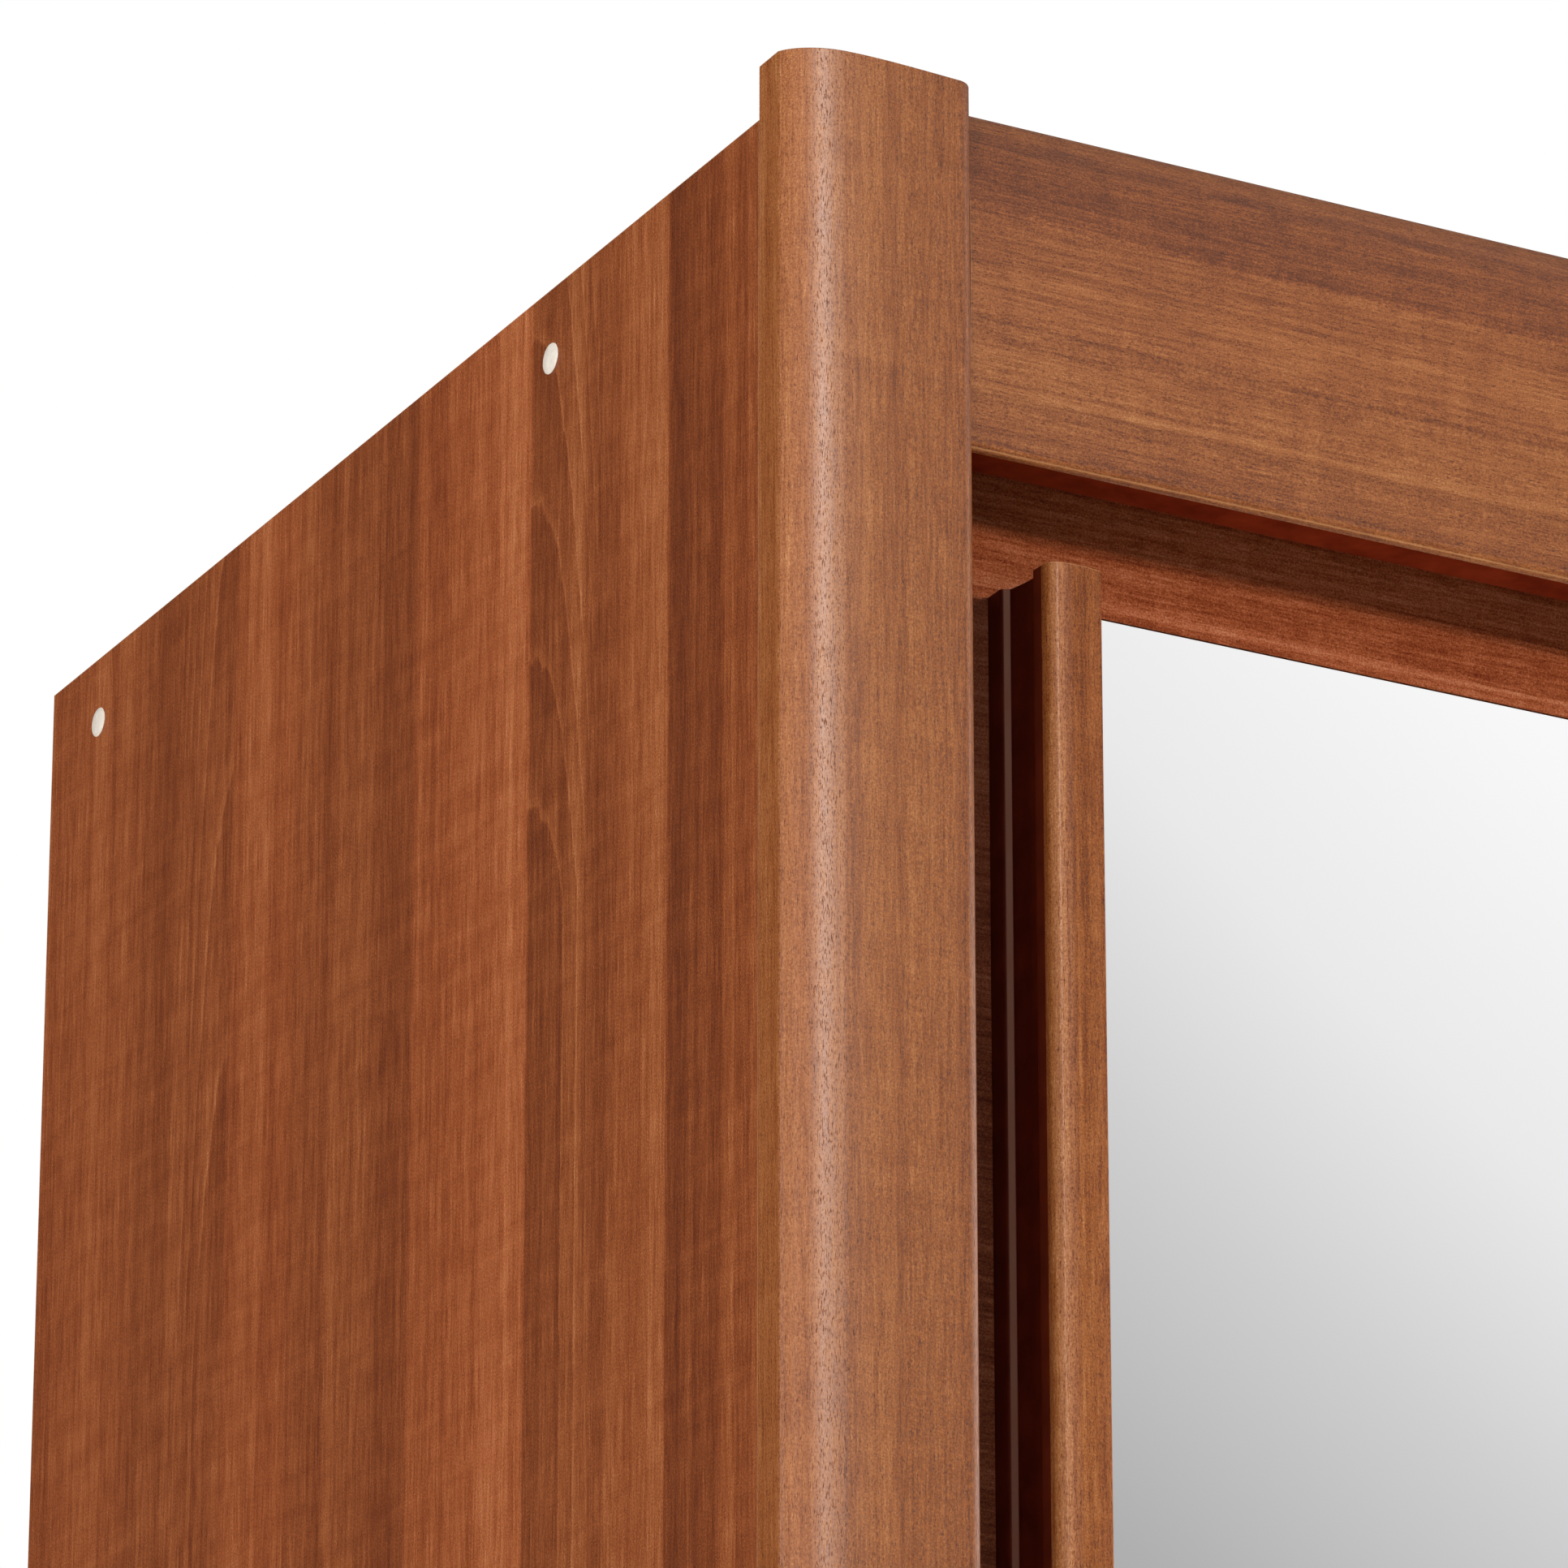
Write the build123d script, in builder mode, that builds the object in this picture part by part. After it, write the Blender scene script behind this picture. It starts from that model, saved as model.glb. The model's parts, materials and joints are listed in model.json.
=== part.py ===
from build123d import *
import os

# Two-door sliding wardrobe: a chipboard carcass in walnut foil, two hand-moulded front
# pilasters with a cornice between them, and two mirrored doors that roll on bottom rails.
# Millimetres. X runs along the width, Y from the front to the back, Z up.
# The origin is the middle of the wardrobe's footprint, on the floor.

# ---- Driving dimensions ----
width = 1800.0
side_depth = 600.0
side_top = 2150.0
board = 18.0
floor_gap = 5.0

pilaster_width = 74.0
pilaster_depth = 26.0
pilaster_rise = 21.0
cornice_depth = 19.4
cornice_drop = 117.0
cornice_rise = 19.0
top_panel_drop = 18.6
plinth_height = 75.0

door_board = 16.0
mirror_thickness = 4.0
front_door_setback = 40.0
handle_width = 23.7
handle_depth = 41.0
handle_inset = 94.5
door_overlap = 120.0
door_gap = 1.0
door_clearance = 3.0
door_travel = 820.0
mirror_top_drop = 144.5
mirror_margin = 90.0

wheel_radius = 15.0
rolling_radius = 11.5
rolling_gap = 0.3
wheel_width = 7.0
axle_radius = 2.5
axle_clearance = 0.05

back_sheet = 3.0
back_inset = 1.5
screw_inset = 41.5
rear_plinth_inset = 40.0
touch_gap = 0.1
eased_edge = 1.0
rounded_edge = 1.2
sheet_hole_radius = 1.9

os.makedirs("parts", exist_ok=True)


# ---- Derived planes and spans ----
front = pilaster_depth - (side_depth + pilaster_depth) / 2
back = front + side_depth
half_width = width / 2
inner_half = half_width - board
sheet_back = back - back_inset
sheet_front = sheet_back - back_sheet

plinth_span = (floor_gap, floor_gap + plinth_height)
base_span = (plinth_span[1], plinth_span[1] + board)
base_top = base_span[1]
top_span = (side_top - top_panel_drop - board, side_top - top_panel_drop)
ceiling = top_span[0]

door_setbacks = {
    "left": front_door_setback,
    "right": front_door_setback + door_board + door_clearance + handle_depth,
}
fitting_front = front + door_setbacks["right"] + door_board + door_clearance

track_base = 2.0
rail_height = 5.0
rail_width = 3.0
rail_top = base_top + track_base + rail_height
door_bottom = rail_top + 1.0
channel_height = 15.0
channel_wall = 1.5
channel_width = 18.6
rail_base_width = 18.0
door_top = ceiling - channel_height - 3.4
wheel_height = rail_top + rolling_gap + rolling_radius
front_skin = 3.0
pocket_depth = door_board - front_skin
mirror_span = (door_bottom + mirror_margin, side_top - mirror_top_drop)

buffer_thickness = 3.0
door_width = (2 * inner_half - 2 * door_gap + door_overlap) / 2
handle_gap = 0.2


# ---- Shared builders ----
def block(x_span, y_span, z_span, mode=Mode.ADD):
    """Adds a block between two opposite corners to the part being built."""
    spans = (x_span, y_span, z_span)
    middle = tuple((low + high) / 2 for low, high in spans)
    size = tuple(high - low for low, high in spans)
    with Locations(middle):
        Box(*size, mode=mode)


def finish(name, part):
    """Labels a finished piece and writes it to its own file."""
    part.label = name
    export_step(part, f"parts/{name}.step")


def pointing(direction):
    """The turn that lays a tool made along +Z along another direction."""
    turns = {
        "+X": (0, 90, 0),
        "-X": (0, -90, 0),
        "+Y": (-90, 0, 0),
        "-Y": (90, 0, 0),
        "+Z": (0, 0, 0),
        "-Z": (180, 0, 0),
    }
    return turns[direction]


def places(points, direction):
    """Locations at some points, all facing one way."""
    return [Location(point, pointing(direction)) for point in points]


def revolved(points):
    """A turned piece about Z from an outline of (radius, height) points."""
    with BuildPart() as turned:
        with BuildSketch(Plane.XZ):
            with BuildLine():
                Polyline(*points, close=True)
            make_face()
        revolve(axis=Axis.Z)
    return turned.part


# ---- Fasteners, each made once, pointing along +Z from the surface that it enters ----
confirmat_length = 50.0
confirmat = revolved(
    [
        (0, 3.5),
        (2.2, 3.5),
        (2.2, 0.2),
        (5.0, 0.2),
        (3.5, 4.0),
        (3.5, board - 1),
        (2.5, board - 1),
        (2.5, confirmat_length - 2),
        (0, confirmat_length),
    ]
)
confirmat_hole = revolved(
    [
        (0, -1.0),
        (5.6, -1.0),
        (5.2, 0.0),
        (3.6, 4.2),
        (3.6, board),
        (2.6, board),
        (2.6, confirmat_length + 1),
        (0, confirmat_length + 1),
    ]
)

cap = revolved(
    [
        (0, -1.4),
        (2.4, -1.2),
        (4.4, -0.8),
        (5.6, -0.4),
        (6.0, 0),
        (2.0, 0),
        (2.0, 3.0),
        (0, 3.0),
    ]
)

small_length = 12.0
small_screw = revolved(
    [(0, -2.0), (2.2, -2.0), (3.2, -0.8), (3.2, 0), (1.7, 0), (1.7, small_length - 2), (0, small_length)]
)
small_hole = revolved([(0, -3), (1.8, -3), (1.8, small_length + 0.5), (0, small_length + 0.5)])
small_clearance = revolved([(0, -4), (3.6, -4), (3.6, 1), (0, 1)])


def flush_screw_and_hole(length):
    """A countersunk screw that ends up flush, and the hole that takes it."""
    screw = revolved([(0, 0.2), (3.6, 0.2), (1.8, 2.2), (1.8, length - 3), (0, length)])
    hole = revolved(
        [(0, -1), (3.9, -1), (3.8, 0), (1.9, 2.3), (1.9, length + 0.5), (0, length + 0.5)]
    )
    return screw, hole


pin_radius = 2.5
pin_depth = 8.0
pin_reach = 8.0


def group(tool, locations):
    """Several copies of one fastener in one node."""
    with BuildPart() as copies:
        with Locations(*locations):
            add(tool)
    return copies.part


def drill(tool, locations):
    """Cuts a fastener's hole at each location in the part being built."""
    with Locations(*locations):
        add(tool, mode=Mode.SUBTRACT)


# ---- Where the carcass screws go ----
screw_ys = (fitting_front + screw_inset, back - screw_inset - back_sheet)
rear_plinth_front = back - rear_plinth_inset - board
plinth_ys = {
    "front": (front, front + board),
    "rear": (rear_plinth_front, rear_plinth_front + board),
}
plinth_screw_z = sum(plinth_span) / 2
top_mid = sum(top_span) / 2
base_mid = sum(base_span) / 2

side_screw_points = [(y, z) for z in (top_mid, base_mid) for y in screw_ys]
side_screw_points += [(sum(span) / 2, plinth_screw_z) for span in plinth_ys.values()]
side_screws = {
    "left": places([(-half_width, y, z) for y, z in side_screw_points], "+X"),
    "right": places([(half_width, y, z) for y, z in side_screw_points], "-X"),
}
partition_top_screws = places([(0, y, top_span[1]) for y in screw_ys], "-Z")
partition_base_screws = places([(0, y, base_span[0]) for y in screw_ys], "+Z")
all_carcass_screws = (
    side_screws["left"] + side_screws["right"] + partition_top_screws + partition_base_screws
)

# ---- Shelves: heights of their undersides, and the pin holes beside each ----
hole_pitch = 32.0
first_hole = base_top + 300.0
hat_steps = 42
shelf_steps = {"lower": 0, "middle": 13, "upper": 27}
hat_underside = first_hole + hat_steps * hole_pitch
shelf_undersides = {name: first_hole + n * hole_pitch for name, n in shelf_steps.items()}
pin_inset = 50.0
pin_ys = (fitting_front + pin_inset, sheet_front - pin_inset)
shelf_side_gap = 1.0
shelf_setback = 12.0
shelf_front = fitting_front + shelf_setback


def pin_points(x, undersides, spread):
    """Pin-hole centres on one wall: one under each shelf, and spread spare ones each way."""
    return [
        (x, y, z - pin_radius + step * hole_pitch)
        for z in undersides
        for y in pin_ys
        for step in range(-spread, spread + 1)
    ]


left_levels = [hat_underside]
right_levels = [hat_underside, *shelf_undersides.values()]
pin_walls = {
    "left_side": (-inner_half, left_levels, "-X"),
    "partition_left": (-board / 2, left_levels, "+X"),
    "partition_right": (board / 2, right_levels, "-X"),
    "right_side": (inner_half, right_levels, "+X"),
}


def drill_pin_holes(wall):
    """Cuts the rows of blind pin holes into one wall."""
    x, levels, direction = pin_walls[wall]
    # A hair wider than the pin, so that pin and wall touch without overlapping.
    with Locations(*places(pin_points(x, levels, 1), direction)):
        Cylinder(
            pin_radius + touch_gap / 2,
            pin_depth + 0.5,
            align=(Align.CENTER, Align.CENTER, Align.MIN),
            mode=Mode.SUBTRACT,
        )


# ---- Angle brackets behind the pilasters and the cornice ----
bracket_arm = 22.0
bracket_width = 16.0
bracket_sheet = 1.5
bracket_hole = 13.0
pilaster_bracket_zs = [300.0, 850.0, 1400.0, 1950.0]
cornice_bracket_xs = [-700.0, -350.0, 0.0, 350.0, 700.0]

with BuildPart() as bracket_shape:
    with BuildSketch(Plane.XZ):
        with BuildLine():
            Polyline(
                (0, 0),
                (bracket_arm, 0),
                (bracket_arm, bracket_sheet),
                (bracket_sheet, bracket_sheet),
                (bracket_sheet, bracket_arm),
                (0, bracket_arm),
                close=True,
            )
        make_face()
    extrude(amount=bracket_width / 2, both=True)
    with Locations((bracket_hole, 0, 0), Location((0, 0, bracket_hole), (0, 90, 0))):
        Cylinder(sheet_hole_radius, 4 * bracket_sheet, mode=Mode.SUBTRACT)
bracket = bracket_shape.part
# As made, one arm lies along +X on the plane Z = 0 and the other along +Z on X = 0.


def bracket_sites():
    """(bracket location, screw locations) for each bracket in the wardrobe."""
    sites = []
    for sign, outward in ((-1, "-X"), (1, "+X")):
        for z in pilaster_bracket_zs:
            corner = (sign * inner_half, front, z)
            seat = Plane(origin=corner, x_dir=(-sign, 0, 0), z_dir=(0, 1, 0))
            forward = (corner[0] - sign * bracket_hole, front + bracket_sheet, z)
            sideways = (corner[0] - sign * bracket_sheet, front + bracket_hole, z)
            screws = places([forward], "-Y") + places([sideways], outward)
            sites.append((seat.location, screws))
    for x in cornice_bracket_xs:
        seat = Plane(origin=(x, front, ceiling), x_dir=(0, 1, 0), z_dir=(0, 0, -1))
        forward = (x, front + bracket_sheet, ceiling - bracket_hole)
        upward = (x, front + bracket_hole, ceiling - bracket_sheet)
        screws = places([forward], "-Y") + places([upward], "+Z")
        sites.append((seat.location, screws))
    return sites


bracket_places = [site for site, _ in bracket_sites()]
bracket_screw_places = [place for _, screws in bracket_sites() for place in screws]

# ---- Screws of the top tracks and of the wall brackets ----
track_screw_pitch = 420.0
track_screw_xs = [n * track_screw_pitch for n in range(-2, 3)]
track_centres = {
    place: front + door_setbacks[side] + (door_board + front_skin) / 2
    for place, side in (("front", "left"), ("rear", "right"))
}
track_screw_places = [
    place
    for y in track_centres.values()
    for place in places([(x, y, ceiling - channel_wall) for x in track_screw_xs], "+Z")
]

wall_bracket_xs = (-600.0, 600.0)
wall_screw_pitch = 40.0
wall_screw_inset = 30.0
wall_sheet = 2.0
wall_screw_points = [
    (x + sign * wall_screw_pitch / 2, back - wall_screw_inset, top_span[1] + wall_sheet)
    for x in wall_bracket_xs
    for sign in (-1, 1)
]
wall_screw_places = places(wall_screw_points, "-Z")

# ---- Carcass panels ----
rabbet = 9.0

for side in ("left", "right"):
    sign = -1 if side == "left" else 1
    outer, inner = sorted((sign * half_width, sign * inner_half))
    rabbet_span = sorted((sign * inner_half, sign * (inner_half + rabbet)))
    with BuildPart() as side_panel:
        block((outer, inner), (front, back), (floor_gap, side_top))
        block(rabbet_span, (sheet_front, back + 1), (base_span[0], side_top + 1), Mode.SUBTRACT)
        drill(confirmat_hole, side_screws[side])
        drill_pin_holes(f"{side}_side")
        drill(small_hole, bracket_screw_places)
    finish(f"{side}_side_panel", side_panel.part)

inner_span = (-inner_half, inner_half)
with BuildPart() as top_panel:
    block(inner_span, (front, sheet_front), top_span)
    drill(confirmat_hole, all_carcass_screws)
    drill(small_hole, bracket_screw_places + track_screw_places + wall_screw_places)
finish("top_panel", top_panel.part)

with BuildPart() as bottom_panel:
    block(inner_span, (front, sheet_front), base_span)
    drill(confirmat_hole, all_carcass_screws)
finish("bottom_panel", bottom_panel.part)

with BuildPart() as centre_partition:
    block((-board / 2, board / 2), (fitting_front, sheet_front), (base_top, ceiling))
    drill(confirmat_hole, partition_top_screws + partition_base_screws)
    # A pin hole is a little less than half the board deep, so opposite ones never meet.
    drill_pin_holes("partition_right")
    drill_pin_holes("partition_left")
finish("centre_partition", centre_partition.part)

for place, y_span in plinth_ys.items():
    with BuildPart() as plinth:
        block(inner_span, y_span, plinth_span)
        drill(confirmat_hole, all_carcass_screws)
    finish(f"{place}_plinth", plinth.part)

# Beside the partition's screws, so that they stay within reach from below.
rib_right = -60.0
with BuildPart() as base_rib:
    rib_span = (plinth_ys["front"][1], plinth_ys["rear"][0])
    block((rib_right - board, rib_right), rib_span, plinth_span)
finish("base_rib", base_rib.part)


# ---- Mouldings ----
def pilaster_section():
    """The left pilaster in plan: flat outer flank, sweeping front, small inner radius."""
    with BuildSketch() as section:
        with BuildLine():
            Line((0, 0), (0, -14))
            crown = (32, -pilaster_depth)
            shoulder = (pilaster_width - 7, -24.2)
            corner = (pilaster_width, -17.2)
            Spline((0, -14), (9, -22.2), crown, tangents=((0.55, -1), (1, 0)))
            Spline(crown, shoulder, tangents=((1, 0), (1, 0.06)))
            RadiusArc(shoulder, corner, -7)
            Line(corner, (pilaster_width, 0))
            Line((pilaster_width, 0), (0, 0))
        make_face()
    return section.sketch


pilaster_place = Pos(-half_width, front, floor_gap)
pilaster_height = side_top + pilaster_rise - floor_gap
with BuildPart() as left_pilaster:
    extrude(pilaster_place * pilaster_section(), amount=pilaster_height, dir=(0, 0, 1))
    drill(small_hole, bracket_screw_places)
finish("left_pilaster", left_pilaster.part)

with BuildPart() as right_pilaster:
    add(mirror(left_pilaster.part, about=Plane.YZ))
finish("right_pilaster", right_pilaster.part)


def cornice_section():
    """The cornice in side view as (depth forward, height): full below, swept back on top."""
    low = -cornice_drop
    with BuildSketch(Plane.YZ) as section:
        with BuildLine():
            Line((0, low), (-13.5, low))
            RadiusArc((-13.5, low), (-17.0, low + 3.5), 3.5)
            crown = (-cornice_depth, -50)
            Spline((-17.0, low + 3.5), crown, tangents=((-0.04, 1), (0, 1)))
            Spline(crown, (-16.4, -4), (-4.0, cornice_rise), tangents=((0, 1), (1, 0.75)))
            Line((-4.0, cornice_rise), (0, cornice_rise))
            Line((0, cornice_rise), (0, low))
        make_face()
    return section.sketch


cornice_half = half_width - pilaster_width
with BuildPart() as cornice:
    extrude(Pos(-cornice_half, front, side_top) * cornice_section(), amount=2 * cornice_half, dir=(1, 0, 0))
    drill(small_hole, bracket_screw_places)
finish("cornice", cornice.part)

finish("corner_brackets", group(bracket, bracket_places))
finish("bracket_screws", group(small_screw, bracket_screw_places))
finish("carcass_screws", group(confirmat, all_carcass_screws))
finish("screw_caps", group(cap, side_screws["left"] + side_screws["right"]))

# ---- Back sheets, their joining strip and nails ----
strip_half = 10.0
strip_sheet = 1.2
seam_half = 1.0
seam_slack = 0.1
nail_radius = 0.85
nail_slack = 0.05
sheet_edge = inner_half + rabbet - 0.5
sheet_span = (base_span[0], top_span[1])
nail_edge_x = inner_half + rabbet - 3.0
nail_xs = (180.0, 400.0, 620.0, 840.0)
nail_steps = 9
nail_pitch = (top_mid - base_mid) / nail_steps
nail_zs = [base_mid + n * nail_pitch for n in range(nail_steps + 1)]
nail_rows = {
    sign: [(sign * nail_edge_x, sheet_back, z) for z in nail_zs[1:-1]]
    + [(sign * x, sheet_back, z) for x in nail_xs for z in (nail_zs[0], nail_zs[-1])]
    for sign in (-1, 1)
}
nail_places = places(nail_rows[-1] + nail_rows[1], "-Y")

for side, sign in (("left", -1), ("right", 1)):
    with BuildPart() as sheet:
        block(sorted((sign * seam_half, sign * sheet_edge)), (sheet_front, sheet_back), sheet_span)
        with Locations(*nail_rows[sign]):
            Cylinder(nail_radius, 2 * board, rotation=(90, 0, 0), mode=Mode.SUBTRACT)
    finish(f"{side}_back_sheet", sheet.part)

with BuildPart() as back_joining_strip:
    tongue_span = (seam_slack - seam_half, seam_half - seam_slack)
    block(tongue_span, (sheet_front, sheet_back), sheet_span)
    block((-strip_half, strip_half), (sheet_back, sheet_back + strip_sheet), sheet_span)
finish("back_joining_strip", back_joining_strip.part)

nail = revolved(
    [
        (0, -0.7),
        (2.2, -0.7),
        (2.2, 0),
        (nail_radius - nail_slack, 0),
        (nail_radius - nail_slack, back_sheet),
        (0, back_sheet),
    ]
)
finish("back_nails", group(nail, nail_places))

# ---- Shelves, pins and hanging rail ----
bays = {
    "left": (-inner_half + shelf_side_gap, -board / 2 - shelf_side_gap),
    "right": (board / 2 + shelf_side_gap, inner_half - shelf_side_gap),
}


shelf_span = (shelf_front, sheet_front - 2.0)


def write_shelf(name, bay, underside):
    """A loose shelf between two walls, with its front edge set back and eased."""
    with BuildPart() as shelf:
        block(bays[bay], shelf_span, (underside, underside + board))
        fillet(shelf.edges().filter_by(Axis.X).group_by(Axis.Y)[0], radius=eased_edge)
    finish(name, shelf.part)


write_shelf("left_hat_shelf", "left", hat_underside)
write_shelf("right_hat_shelf", "right", hat_underside)
for level, underside in shelf_undersides.items():
    write_shelf(f"{level}_shelf", "right", underside)

pin_locations = [
    place
    for x, levels, direction in pin_walls.values()
    for place in places(pin_points(x, levels, 0), direction)
]
with BuildPart() as shelf_pins:
    with Locations(*pin_locations):
        Cylinder(
            pin_radius,
            pin_depth,
            align=(Align.CENTER, Align.CENTER, Align.MIN),
        )
        Cylinder(
            pin_radius - touch_gap / 2,
            pin_reach,
            align=(Align.CENTER, Align.CENTER, Align.MAX),
        )
finish("shelf_pins", shelf_pins.part)

rail_radius = 12.5
rail_wall = 1.2
rail_y = (fitting_front + sheet_front) / 2
rail_drop = 62.0
rail_z = hat_underside - rail_drop
socket_base = 3.0
rail_start_x = socket_base - inner_half
rail_length = inner_half - board / 2 - 2 * socket_base
rail_start = Plane(origin=(rail_start_x, rail_y, rail_z), x_dir=(0, 1, 0), z_dir=(1, 0, 0))
with BuildPart() as hanging_rail:
    with BuildSketch(rail_start):
        Circle(rail_radius)
        Circle(rail_radius - rail_wall, mode=Mode.SUBTRACT)
    extrude(amount=rail_length)
finish("hanging_rail", hanging_rail.part)

socket_radius = 17.0
socket_flange = 25.0
socket_depth = 14.0
socket_shape = revolved(
    [
        (0, 0),
        (socket_flange, 0),
        (socket_flange, socket_base - 1),
        (socket_radius, socket_base),
        (socket_radius, socket_depth),
        (rail_radius + touch_gap, socket_depth),
        (rail_radius + touch_gap, socket_base),
        (0, socket_base),
    ]
)
socket_places = [
    Location((-inner_half, rail_y, rail_z), pointing("+X")),
    Location((-board / 2, rail_y, rail_z), pointing("-X")),
]
finish("rail_sockets", group(socket_shape, socket_places))

# ---- Tracks ----
track_x = inner_half - 0.5
stop_length = 70.0
channel_outer = channel_width / 2
channel_inner = channel_outer - channel_wall

for place, centre in track_centres.items():
    with BuildPart() as bottom_track:
        base_edges = (centre - rail_base_width / 2, centre + rail_base_width / 2)
        block((-track_x, track_x), base_edges, (base_top, base_top + track_base))
        block(
            (-track_x, track_x),
            (centre - rail_width / 2, centre + rail_width / 2),
            (base_top + track_base, rail_top),
        )
        fillet(bottom_track.edges().filter_by(Axis.X).group_by(Axis.Z)[-1], radius=rounded_edge)
    finish(f"{place}_bottom_track", bottom_track.part)
    with BuildPart() as top_track:
        block(
            (-track_x, track_x),
            (centre - channel_outer, centre + channel_outer),
            (ceiling - channel_height, ceiling),
        )
        block(
            (-track_x - 1, track_x + 1),
            (centre - channel_inner, centre + channel_inner),
            (ceiling - channel_height - 1, ceiling - channel_wall),
            Mode.SUBTRACT,
        )
        with Locations(*[(x, centre, ceiling) for x in track_screw_xs]):
            Cylinder(sheet_hole_radius, channel_height, mode=Mode.SUBTRACT)
    finish(f"{place}_top_track", top_track.part)

finish("track_screws", group(small_screw, track_screw_places))

with BuildPart() as track_stops:
    for centre in track_centres.values():
        for sign in (-1, 1):
            block(
                sorted((sign * (track_x - stop_length), sign * track_x)),
                (centre - channel_inner + touch_gap, centre + channel_inner - touch_gap),
                (ceiling - channel_height + 1, ceiling - channel_wall),
            )
    drill(small_clearance, track_screw_places)
finish("track_stops", track_stops.part)

# ---- Feet and wall brackets ----
foot_length = 40.0
foot_inset = 60.0
foot_ys = (front + foot_inset, 0, back - foot_inset)
foot_points = [(sign * (half_width - board / 2), y) for sign in (-1, 1) for y in foot_ys]
plinth_foot_points = [
    (sign * half_width / 2, sum(span) / 2) for sign in (-1, 1) for span in plinth_ys.values()
]
with BuildPart() as floor_glides:
    with BuildSketch():
        with Locations(*foot_points):
            SlotOverall(foot_length, board - 2, rotation=90)
        with Locations(*plinth_foot_points):
            SlotOverall(foot_length, board - 2)
    extrude(amount=floor_gap)
    fillet(floor_glides.edges().group_by(Axis.Z)[0], radius=rounded_edge)
finish("floor_glides", floor_glides.part)

wall_hole_radius = 2.6
wall_bracket_half = 35.0
wall_bracket_foot = 45.0
wall_bracket_rise = 32.0
wall_hole_z = top_span[1] + 18.0
with BuildPart() as wall_brackets:
    for x in wall_bracket_xs:
        x_span = (x - wall_bracket_half, x + wall_bracket_half)
        block(x_span, (back - wall_bracket_foot, back), (top_span[1], top_span[1] + wall_sheet))
        block(x_span, (back - wall_sheet, back), (top_span[1], top_span[1] + wall_bracket_rise))
        with Locations(*[(x + sign * wall_screw_pitch / 2, back, wall_hole_z) for sign in (-1, 1)]):
            Cylinder(wall_hole_radius, 4 * wall_sheet, rotation=(90, 0, 0), mode=Mode.SUBTRACT)
    with Locations(*wall_screw_points):
        Cylinder(sheet_hole_radius, 4 * wall_sheet, mode=Mode.SUBTRACT)
finish("wall_brackets", wall_brackets.part)
finish("wall_bracket_screws", group(small_screw, wall_screw_places))


# ---- Doors ----
fitting_inset = 90.0
pocket_half = 23.0
ear_half = 37.0
ear_depth = 3.0
pocket_height = 34.0
wheel_slot_half = 17.5
wheel_slot_width = 9.0
tongue_half = 18.0
tongue_width = 12.0
screw_head_room = 2.6
ear_screw_x = 30.0
fitting_screw_length = 12.0
handle_screw_length = 40.0
handle_screw_count = 5
handle_screw_offset = 14.0
handle_screw_inset = 60.0
buffer_width = 10.0
buffer_setback = 3.0
door_edge = 0.6
mirror_arris = 0.8
axle_hole_radius = axle_radius + 0.02
axle_length = pocket_depth - 0.4

fitting_screw, fitting_hole = flush_screw_and_hole(fitting_screw_length)
handle_screw, handle_hole = flush_screw_and_hole(handle_screw_length)

rim = 0.6
half_wheel = wheel_width / 2
groove_half = 2.4
groove_floor_half = 1.8
wheel_shape = revolved(
    [
        (axle_radius + axle_clearance, -half_wheel),
        (wheel_radius - rim, -half_wheel),
        (wheel_radius, rim - half_wheel),
        (wheel_radius, -groove_half),
        (rolling_radius, -groove_floor_half),
        (rolling_radius, groove_floor_half),
        (wheel_radius, groove_half),
        (wheel_radius, half_wheel - rim),
        (wheel_radius - rim, half_wheel),
        (axle_radius + axle_clearance, half_wheel),
    ]
)


def handle_outline():
    """A handle moulding in plan: outer flank on X = 0, the door's face on Y = 0."""
    with BuildSketch() as section:
        with BuildLine():
            Line((0, 0), (0, -8.2))
            ThreePointArc((0, -8.2), (0.3, -9.2), (1.0, -9.8))
            Line((1.0, -9.8), (3.2, -10.8))
            ThreePointArc((3.2, -10.8), (4.6, -17.0), (5.4, -23.4))
            ThreePointArc((5.4, -23.4), (4.9, -27.2), (2.6, -28.6))
            ThreePointArc((2.6, -28.6), (2.1, -28.9), (2.0, -29.4))
            Line((2.0, -29.4), (2.1, -34.5))
            ThreePointArc((2.1, -34.5), (3.1, -38.2), (5.8, -40.2))
            ThreePointArc((5.8, -40.2), (13.0, -handle_depth), (22.6, -39.9))
            ThreePointArc((22.6, -39.9), (23.4, -39.6), (handle_width, -38.8))
            Line((handle_width, -38.8), (handle_width, 0))
            Line((handle_width, 0), (0, 0))
        make_face()
    return section.sketch


class Door:
    """The planes of one door: face is its front, and across() counts from its outer edge."""

    def __init__(self, side):
        self.side = side
        self.sign = -1 if side == "left" else 1
        self.face = front + door_setbacks[side]
        self.rear = self.face + door_board
        self.centre = self.face + front_skin + pocket_depth / 2

    def across(self, distance):
        """X of a point at a distance inwards from the closed door's outer edge."""
        return self.sign * (inner_half - door_gap - distance)

    def span(self, start, end):
        """An X span between two distances from the outer edge."""
        return sorted((self.across(start), self.across(end)))

    def fittings(self):
        """X of the two roller pockets, which are also those of the two guide pockets."""
        return [self.across(fitting_inset), self.across(door_width - fitting_inset)]


def handle_screw_places(door):
    """Five screws up the back of each of a door's two handle mouldings."""
    low = mirror_span[0] + handle_screw_inset
    high = mirror_span[1] - handle_screw_inset
    steps = handle_screw_count - 1
    heights = [low + n * (high - low) / steps for n in range(handle_screw_count)]
    inset = handle_inset + handle_screw_offset
    columns = (door.across(inset), door.across(door_width - inset))
    return places([(x, door.rear, z) for x in columns for z in heights], "-Y")


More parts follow.
